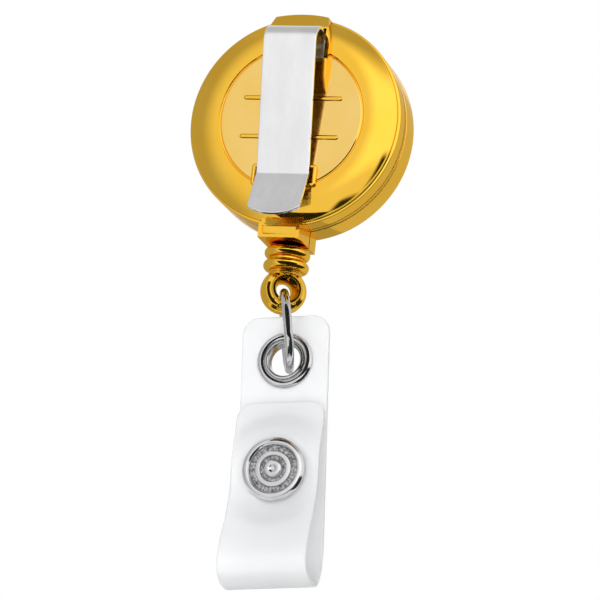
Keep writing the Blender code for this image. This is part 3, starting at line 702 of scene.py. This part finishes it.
def jump_ring():
    """Round wire ring through the eyelet and the grommet."""
    radius, wire, steps = 5.55 * MM, 0.66 * MM, 144
    normal = Vector(JOINTS["strap_swing"]["axis"]).normalized()
    centre = Vector(JOINTS["strap_swing"]["pos_m"])
    down = (centre - Vector((0, PARTING_Y, EYELET_Z))).normalized()
    across = normal.cross(down)
    points = [centre + radius * (math.cos(a) * down + math.sin(a) * across)
              for a in (math.tau * i / steps for i in range(steps))]
    ring = tube("wire_ring", points, wire, NICKEL, closed=True, sides=32)
    place(ring, "ring", "nickel", "jump_ring")


def outer_cord():
    """Cord between the nozzle and the fitting."""
    top, low = -17.3 * MM, -19.5 * MM
    steps = 60
    points = [(0, PARTING_Y, top + (low - top) * i / steps) for i in range(steps + 1)]
    cord = tube("pull_cord", points, CORD_R, BRAID)
    place(cord, None, "cord", "cord_outer_run")
    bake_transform(cord)


# ---------------------------------------------------------------- strap

def hang(*pieces):
    """Lean the strap's pieces about the eyelet and shift them aside."""
    pivot = Matrix.Translation((0, PARTING_Y, EYELET_Z))
    lean = pivot @ Matrix.Rotation(-STRAP_LEAN, 4, "Y") @ pivot.inverted()
    for piece in pieces:
        piece.data.transform(Matrix.Translation((STRAP_SHIFT, 0, 0)) @ lean)


def fold_route():
    """Centre line of the strap from where it starts to bend, through the fold to the top of the flap."""
    fold = (FOLD_Y, FOLD_Z)
    back = [(STRAP_Y, STRAP_BEND)]
    back += bezier([back[-1], (STRAP_Y, -65.5 * MM), (4.4 * MM, FOLD_Z), fold], 60)
    bow, handle = -58.2 * MM, 3 * MM
    bow_y = FLAP_TOP_Y - FLAP_LEAN * (FLAP_TOP - bow)
    flap = [(FLAP_TOP_Y, FLAP_TOP), (bow_y, bow)]
    flap += bezier([flap[-1], (bow_y - FLAP_LEAN * handle, bow - handle), (-7.9 * MM, FOLD_Z), fold], 80)
    return Route(back + list(reversed(flap[:-1])))


def press(vinyl):
    """Flatten the flap round the snap."""
    for vertex in vinyl.data.vertices:
        x, y, z = vertex.co
        straight = FLAP_TOP_Y - FLAP_LEAN * (FLAP_TOP - z)
        if y > (straight + STRAP_Y) / 2 or z > FLAP_TOP + MM:
            continue
        off = (math.hypot(x, z - SNAP_Z) - SNAP_R) / PRESSED_RUN
        off = min(max(off, 0), 1)
        vertex.co.y += (FLAP_Y - straight) * (1 - off * off * (3 - 2 * off))


def strap():
    """One vinyl strip in two lengths, so that the blend at the fold can't reach the back leaf above it."""
    common = {"edge": 0.12 * MM, "spacing": 0.3 * MM, "columns": 30}
    leaf = strip("vinyl_back_leaf", Route([(STRAP_Y, STRAP_TOP), (STRAP_Y, STRAP_BEND)]), STRAP_HALF, STRAP_T,
                 VINYL, corners=(STRAP_CORNER, 0), square=(False, True), **common)
    hole = lathe("hole", [(0, -MM), (GROMMET_HOLE_R, -MM), (GROMMET_HOLE_R, MM), (0, MM)], None,
                 centre=(0, STRAP_Y, GROMMET_Z), steps=64)
    combine(leaf, [hole])
    flap = strip("vinyl_fold_and_flap", fold_route(), STRAP_HALF, STRAP_T, VINYL, corners=(0, STRAP_CORNER),
                 square=(True, False), **common)
    press(flap)
    hang(leaf, flap)
    for vinyl in (leaf, flap):
        vinyl.data.shade_smooth()
        vinyl.data.set_sharp_from_angle(angle=math.radians(50))
    place(leaf, "strap", "vinyl", "strap_back_leaf")
    place(flap, None, "vinyl", "strap_front_leaf")
    across = Vector((0, 1, 0))
    across.rotate(Matrix.Rotation(FOLD_TILT, 3, "X"))
    across.rotate(Matrix.Rotation(-STRAP_LEAN, 3, "Y"))
    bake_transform(flap)


def grommet_piece(name, outline, rounding, node):
    """A turned piece of the grommet."""
    piece = lathe(name, rounded(outline, rounding, 5, closed=True), NICKEL, centre=(0, 0, GROMMET_Z),
                  closed=True, sharp=60)
    hang(piece)
    place(piece, "strap", "nickel", node)


def grommet():
    """Eyelet pressed through the vinyl, and the washer that its end is rolled over."""
    face, back = STRAP_Y - STRAP_T / 2, STRAP_Y + STRAP_T / 2
    low, barrel_r = face - 0.62 * MM, 2.62 * MM
    curl, roll = back + 0.6 * MM, back + 0.95 * MM
    eyelet = [(4.15 * MM, face), (4.15 * MM, face - 0.16 * MM, 0.12 * MM),
              (3.85 * MM, low + 0.12 * MM, 0.5 * MM), (3.45 * MM, low, 0.6 * MM),
              (3.1 * MM, low + 0.15 * MM, 0.3 * MM), (2.98 * MM, low + 0.3 * MM, 0.1 * MM),
              (2.86 * MM, low + 0.1 * MM, 0.14 * MM), (2.6 * MM, low - 0.02 * MM, 0.2 * MM),
              (2.37 * MM, low + 0.25 * MM, 0.2 * MM), (2.35 * MM, back + 0.7 * MM, 0.1 * MM),
              (2.6 * MM, roll, 0.2 * MM), (3.1 * MM, roll, 0.3 * MM), (3.25 * MM, curl, 0.1 * MM),
              (barrel_r, curl, 0.1 * MM), (barrel_r, face, 0)]
    grommet_piece("grommet_eyelet", eyelet, 0.1 * MM, "grommet")
    washer = [(4.1 * MM, back), (4.1 * MM, back + 0.2 * MM, 0.1 * MM), (3.7 * MM, back + 0.45 * MM, 0.3 * MM),
              (3.0 * MM, back + 0.5 * MM, 0.2 * MM), (GROMMET_HOLE_R, back + 0.3 * MM, 0.1 * MM),
              (GROMMET_HOLE_R, back)]
    grommet_piece("grommet_back_washer", washer, 0.05 * MM, "grommet_washer")


def snap_piece(name, outline, look, body, *nodes):
    """A turned piece of the snap."""
    piece = lathe(name, outline, look, centre=(0, 0, SNAP_Z), sharp=60)
    hang(piece)
    place(piece, body, "nickel", *nodes)


def snap():
    """Cap and socket on the flap, stud and post on the back leaf."""
    face, back = FLAP_Y - STRAP_T / 2, FLAP_Y + STRAP_T / 2
    shank_r = 1.25 * MM
    low = face - 1.15 * MM
    sunk = low + 0.75 * MM
    cap = [(0, low + 0.35 * MM), (0.3 * MM, low + 0.32 * MM, 0.3 * MM),
           (0.65 * MM, low + 0.05 * MM, 0.3 * MM), (1.2 * MM, low + 0.15 * MM, 0.3 * MM),
           (1.45 * MM, sunk, 0.1 * MM), (1.85 * MM, sunk, 0.1 * MM),
           (2.0 * MM, low + 0.25 * MM, 0.15 * MM), (2.6 * MM, low + 0.35 * MM, 0.15 * MM),
           (2.75 * MM, sunk, 0.1 * MM), (3.35 * MM, sunk, 0.15 * MM), (3.55 * MM, low + 0.3 * MM, 0.15 * MM),
           (3.8 * MM, low, 0.25 * MM), (4.25 * MM, low + 0.1 * MM, 0.4 * MM),
           (SNAP_R, low + 0.55 * MM, 0.2 * MM), (SNAP_R - 0.05 * MM, face - 0.1 * MM, 0.1 * MM),
           (4.3 * MM, face), (shank_r, face), (shank_r, back - 0.1 * MM), (0, back - 0.1 * MM)]
    snap_piece("snap_cap_fine", rounded(cap, 0.1 * MM, 5), NICKEL, "flap", "snap_cap")
    # the sunk groove and recess rings take the grained nickel, whose near-black tint is painted shade
    for name, inner, outer in (("snap_groove_grain_painted_shade", 1.42 * MM, 1.88 * MM),
                               ("snap_recess_grain_painted_shade", 2.72 * MM, 3.37 * MM)):
        top, base = sunk - 0.08 * MM, sunk + 0.1 * MM
        shaded_grain_outline = [(inner, base), (inner, top, 0.03 * MM), (outer, top, 0.03 * MM), (outer, base)]
        snap_piece(name, rounded(shaded_grain_outline, 0.03 * MM, 4), GRAINED_PAINTED_SHADE, "flap")
    end = back + 1.1 * MM
    socket = [(0, back + 0.4 * MM), (1.9 * MM, back + 0.4 * MM), (1.9 * MM, end), (3.6 * MM, end),
              (4.2 * MM, end - 0.4 * MM), (4.2 * MM, back), (0, back)]
    snap_piece("snap_socket_fine", rounded(socket, 0.15 * MM, 4), NICKEL, "flap", "snap_socket")
    near, far = end + 0.1 * MM, STRAP_Y - STRAP_T / 2
    tip = near - 0.65 * MM
    stud = [(0, far), (3.6 * MM, far), (3.6 * MM, near), (1.5 * MM, near), (1.5 * MM, near - 0.5 * MM),
            (1.2 * MM, tip), (0, tip)]
    snap_piece("snap_stud_fine", rounded(stud, 0.12 * MM, 4), NICKEL, "strap", "snap_stud")
    outer = STRAP_Y + STRAP_T / 2
    post = [(0, outer + 0.45 * MM), (0.9 * MM, outer + 0.5 * MM, 0.3 * MM),
            (1.3 * MM, outer + 0.75 * MM, 0.3 * MM), (3.9 * MM, outer + 0.78 * MM, 0.5 * MM),
            (4.55 * MM, outer + 0.4 * MM, 0.3 * MM), (SNAP_R, outer, 0.05 * MM), (shank_r, outer),
            (shank_r, far + 0.05 * MM), (0, far + 0.05 * MM)]
    snap_piece("snap_post_fine", rounded(post, 0.12 * MM, 5), NICKEL, "strap", "snap_post")


# ---------------------------------------------------------------- inner pieces

def inner_pieces():
    """The CAD pieces inside the housing keep their shapes and take their finishes here."""
    looks = {"spool": ACETAL, "spring_retainer": ACETAL, "mainspring": SPRING, "cord_winding": BRAID,
             "anchor_knot": BRAID, "cord_inner_run": BRAID, "stop_knot": BRAID}
    for node, look in looks.items():
        mesh = frame["nodes"][node].data
        mesh.materials.clear()
        mesh.materials.append(look)


# ---------------------------------------------------------------- stage

def towards(azimuth, elevation):
    """Direction from the object; azimuth 0 is -Y, and 90 is +X."""
    a, e = math.radians(azimuth), math.radians(elevation)
    return Vector((math.sin(a) * math.cos(e), -math.cos(a) * math.cos(e), math.sin(e)))


def camera():
    """Long lens a little to the right of the clip's side and below the reel, rolled slightly."""
    azimuth, elevation, roll = 17.84, -17.0, 6.39
    distance = 700 * MM
    aim_right, aim_down = 0.878 * MM, 26.05 * MM
    centre = Vector((0, DOME_RISE, 0))
    back = towards(azimuth, elevation)
    right = (-back).cross(Vector((0, 0, 1))).normalized()
    up = right.cross(-back)
    lean = math.radians(roll)
    right, up = math.cos(lean) * right + math.sin(lean) * up, math.cos(lean) * up - math.sin(lean) * right
    location = centre + distance * back
    aim = centre + aim_right * right - aim_down * up
    forward = (aim - location).normalized()
    right = forward.cross(up).normalized()
    up = right.cross(forward)
    data = bpy.data.cameras.new("camera")
    data.lens = 288.96
    data.sensor_width = 36
    data.clip_start, data.clip_end = 0.01, 50
    holder = bpy.data.objects.new("camera", data)
    holder.matrix_world = Matrix((right, up, -forward)).transposed().to_4x4()
    holder.location = location
    bpy.context.scene.collection.objects.link(holder)
    bpy.context.scene.camera = holder


def studio():
    """White surroundings with soft bright and dark areas, which the plating reflects."""
    world = bpy.data.worlds.new("studio")
    bpy.context.scene.world = world
    world.use_nodes = True
    nodes, links = world.node_tree.nodes, world.node_tree.links
    background = nodes["Background"]
    split = nodes.new("ShaderNodeSeparateXYZ")
    links.new(nodes.new("ShaderNodeTexCoord").outputs["Generated"], split.inputs[0])

    def math_node(operation, *values):
        node = nodes.new("ShaderNodeMath")
        node.operation = operation
        for socket, value in zip(node.inputs, values):
            if isinstance(value, (int, float)):
                socket.default_value = value
            else:
                links.new(value, socket)
        return node.outputs[0]

    azimuth = math_node("ARCTAN2", split.outputs["X"], math_node("MULTIPLY", split.outputs["Y"], -1))
    elevation = math_node("ARCSINE", split.outputs["Z"])

    def falloff(angle, centre, half, soft):
        """1 within half of centre, fading to 0 over soft; angles in degrees."""
        off = math_node("ABSOLUTE", math_node("SUBTRACT", angle, math.radians(centre)))
        remap = nodes.new("ShaderNodeMapRange")
        remap.interpolation_type = "SMOOTHSTEP"
        for socket, number in (("From Min", math.radians(half)), ("From Max", math.radians(half + soft)),
                               ("To Min", 1), ("To Max", 0)):
            remap.inputs[socket].default_value = number
        links.new(off, remap.inputs["Value"])
        return remap.outputs["Result"]

    def area(light, value, at, half, soft):
        """Set the light over a rectangle of directions, with soft edges."""
        mask = math_node("MULTIPLY", falloff(azimuth, at[0], half[0], soft[0]),
                         falloff(elevation, at[1], half[1], soft[1]))
        mix = nodes.new("ShaderNodeMix")
        mix.data_type = "FLOAT"
        links.new(mask, mix.inputs["Factor"])
        for socket, item in (("A", light), ("B", value)):
            if isinstance(item, (int, float)):
                mix.inputs[socket].default_value = item
            else:
                links.new(item, mix.inputs[socket])
        return mix.outputs["Result"]

    light = 0.92
    light = area(light, 0.66, (160, 0), (40, 60), (20, 20))      # a little darker behind the reel
    light = area(light, 0.45, (-165, -20), (25, 20), (20, 12))   # darker behind and below
    light = area(light, 0.5, (-95, 5), (30, 40), (45, 30))       # dim left side
    light = area(light, 1.35, (38, 18), (22, 18), (25, 16))      # bright panel on the right
    light = area(light, 0.5, (0, 90), (180, 24), (1, 22))        # grey ceiling
    light = area(light, 0.03, (85, -32), (36, 24), (8, 8))       # dark side below the panel
    light = area(light, 0.03, (55, -52), (30, 14), (8, 8))       # and down to the table
    light = area(light, 0.04, (0, -90), (180, 30), (1, 8))       # dark table
    mirrored = nodes.new("ShaderNodeLightPath").outputs["Is Glossy Ray"]
    plain = math_node("SUBTRACT", 1, mirrored)
    links.new(math_node("ADD", math_node("MULTIPLY", light, mirrored), plain), background.inputs["Strength"])
    background.inputs["Color"].default_value = (1, 1, 1, 1)


def fill_light(name, power, way):
    """Wide soft lamp that is left out of reflections, which the world gives."""
    middle, distance = Vector((0, 0, -0.03)), 1.2
    data = bpy.data.lights.new(name, "AREA")
    data.shape = "DISK"
    data.size = 0.8
    data.energy = power
    lamp = bpy.data.objects.new(name, data)
    lamp.location = middle + distance * way
    lamp.rotation_euler = way.to_track_quat("Z", "Y").to_euler()
    lamp.visible_glossy = False
    bpy.context.scene.collection.objects.link(lamp)


def black_flag():
    """Small black card close in front of the ring, seen only in the plating."""
    way, size, away, below = towards(17.8, 17), 22 * MM, 14 * MM, 2.5 * MM
    side = way.cross(Vector((0, 0, 1))).normalized() * size / 2
    rise = side.cross(way).normalized() * size / 2
    middle = Vector(JOINTS["strap_swing"]["pos_m"]) + away * way - Vector((0, 0, below))
    mesh = bpy.data.meshes.new("black_flag")
    mesh.from_pydata([middle - side - rise, middle + side - rise, middle + side + rise,
                      middle - side + rise], [], [(0, 1, 2, 3)])
    flag = bpy.data.objects.new("black_flag", mesh)
    bpy.context.scene.collection.objects.link(flag)
    mesh.materials.append(Look("black_card", (0.01, 0.01, 0.01), 0.0, 0.9).material)
    flag.visible_camera = False
    flag.visible_diffuse = False
    flag.visible_transmission = False
    flag.visible_shadow = False


def floor():
    """Pale floor far below, clear of the cord at its full length."""
    size, height = 6.0, -1.05
    mesh = bpy.data.meshes.new("floor")
    mesh.from_pydata([(-size, -size, height), (size, -size, height), (size, size, height),
                      (-size, size, height)], [], [(0, 1, 2, 3)])
    plane = bpy.data.objects.new("floor", mesh)
    bpy.context.scene.collection.objects.link(plane)
    mesh.materials.append(Look("floor", (0.9, 0.9, 0.9), 0.0, 0.8).material)
    plane.visible_glossy = False


def main():
    """Build the stage and every visible piece."""
    bpy.context.scene.view_settings.view_transform = "Standard"
    camera()
    studio()
    fill_light("fill_above", 4.2, towards(-10, 20))
    fill_light("fill_below", 4.2, towards(15, -45))
    black_flag()
    floor()
    rear_shell()
    grip_cheeks()
    disc_lines()
    clip_pocket()
    nozzle("nozzle_near", DOME_RISE - 0.3 * MM, PARTING_Y - SEAM_GAP / 2)
    nozzle("nozzle_far", PARTING_Y + SEAM_GAP / 2, NOZZLE_BACK)
    front_shell()
    belt_clip()
    end_fitting()
    jump_ring()
    outer_cord()
    strap()
    grommet()
    snap()
    inner_pieces()


main()
